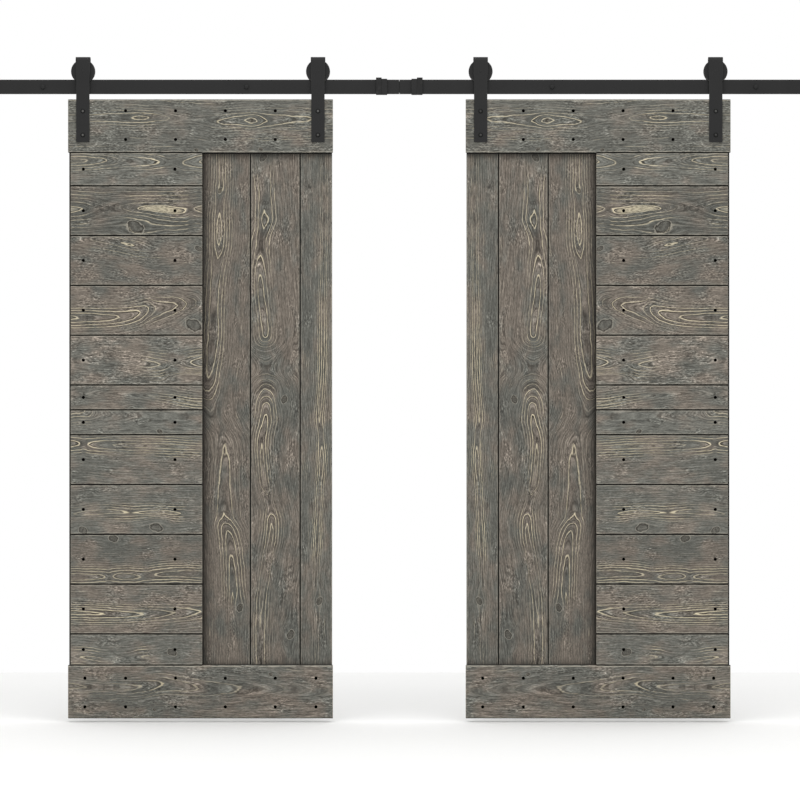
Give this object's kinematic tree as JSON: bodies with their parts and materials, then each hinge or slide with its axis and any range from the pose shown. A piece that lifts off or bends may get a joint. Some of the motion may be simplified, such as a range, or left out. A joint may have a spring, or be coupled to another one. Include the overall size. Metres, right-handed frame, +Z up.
{
  "type": "double sliding barn doors",
  "caption": "Pair of planked wooden sliding doors on a flat wall rail, each hung from two bent-strap roller hangers, with rail stops.",
  "frame": {"origin": "on the wall plane, at the height of the rail's centre line, at the joint of the two rail pieces", "axes": "+X along the rail to the right as seen from the room, +Y into the wall, +Z up"},
  "size_m": [3.658, 0.1162, 2.2854],
  "materials": {
    "wood_boards": "grey-stained, wire-brushed knotty pine, matt",
    "powder_coated_steel": "matt black powder coat",
    "wheel_steel": "satin black, turned steel",
    "dark_zinc": "dark zinc plate",
    "bearing_steel": "ground steel",
    "black_rubber": "moulded rubber, matt"
  },
  "bodies": {
    "rail": {"rail_left": "powder_coated_steel", "rail_right": "powder_coated_steel", "rail_joiner": "powder_coated_steel", "joiner_screws": "dark_zinc", "wall_spacers": "powder_coated_steel", "lag_bolts": "powder_coated_steel", "lag_washers": "powder_coated_steel", "stop_set_screws": "dark_zinc", "centre_stop_left": "powder_coated_steel", "centre_stop_right": "powder_coated_steel", "end_stop_left": "powder_coated_steel", "end_stop_right": "powder_coated_steel", "centre_bumper_left": "black_rubber", "centre_bumper_right": "black_rubber", "end_bumper_left": "black_rubber", "end_bumper_right": "black_rubber"},
    "left_door": {"left_top_board": "wood_boards", "left_bottom_board": "wood_boards", "left_upper_slats": "wood_boards", "left_lower_slats": "wood_boards", "left_back_board_1": "wood_boards", "left_back_board_2": "wood_boards", "left_back_board_3": "wood_boards", "left_back_board_4": "wood_boards", "left_back_board_5": "wood_boards", "left_back_board_6": "wood_boards", "left_wood_screws": "powder_coated_steel", "left_outer_strap": "powder_coated_steel", "left_inner_strap": "powder_coated_steel", "left_strap_bolts": "powder_coated_steel", "left_strap_nuts": "dark_zinc", "left_axle_bolts": "dark_zinc", "left_axle_bushes": "dark_zinc", "left_bearing_cones": "bearing_steel"},
    "left_outer_wheel": {"left_outer_wheel": "wheel_steel", "left_outer_bearing": "bearing_steel"},
    "left_inner_wheel": {"left_inner_wheel": "wheel_steel", "left_inner_bearing": "bearing_steel"},
    "right_door": {"right_top_board": "wood_boards", "right_bottom_board": "wood_boards", "right_upper_slats": "wood_boards", "right_lower_slats": "wood_boards", "right_back_board_1": "wood_boards", "right_back_board_2": "wood_boards", "right_back_board_3": "wood_boards", "right_back_board_4": "wood_boards", "right_back_board_5": "wood_boards", "right_back_board_6": "wood_boards", "right_wood_screws": "powder_coated_steel", "right_outer_strap": "powder_coated_steel", "right_inner_strap": "powder_coated_steel", "right_strap_bolts": "powder_coated_steel", "right_strap_nuts": "dark_zinc", "right_axle_bolts": "dark_zinc", "right_axle_bushes": "dark_zinc", "right_bearing_cones": "bearing_steel"},
    "right_outer_wheel": {"right_outer_wheel": "wheel_steel", "right_outer_bearing": "bearing_steel"},
    "right_inner_wheel": {"right_inner_wheel": "wheel_steel", "right_inner_bearing": "bearing_steel"}
  },
  "joints": [
    {"name": "left_door_slide", "type": "slide", "parent": "rail", "child": "left_door", "axis": [1, 0, 0], "range_m": [-0.655, 0.164]},
    {"name": "left_outer_wheel_spin", "type": "hinge", "parent": "left_door", "child": "left_outer_wheel", "pos_m": [-1.093, -0.035, 0.053], "axis": [0, 1, 0], "continuous": true},
    {"name": "left_inner_wheel_spin", "type": "hinge", "parent": "left_door", "child": "left_inner_wheel", "pos_m": [-0.281, -0.035, 0.053], "axis": [0, 1, 0], "continuous": true},
    {"name": "right_door_slide", "type": "slide", "parent": "rail", "child": "right_door", "axis": [1, 0, 0], "range_m": [-0.164, 0.655]},
    {"name": "right_outer_wheel_spin", "type": "hinge", "parent": "right_door", "child": "right_outer_wheel", "pos_m": [1.093, -0.035, 0.053], "axis": [0, 1, 0], "continuous": true},
    {"name": "right_inner_wheel_spin", "type": "hinge", "parent": "right_door", "child": "right_inner_wheel", "pos_m": [0.281, -0.035, 0.053], "axis": [0, 1, 0], "continuous": true}
  ],
  "couplings": [
    {"joint": "left_outer_wheel_spin", "follows": "left_door_slide", "rad_per_m": 36.036},
    {"joint": "left_inner_wheel_spin", "follows": "left_door_slide", "rad_per_m": 36.036},
    {"joint": "right_outer_wheel_spin", "follows": "right_door_slide", "rad_per_m": 36.036},
    {"joint": "right_inner_wheel_spin", "follows": "right_door_slide", "rad_per_m": 36.036}
  ]
}
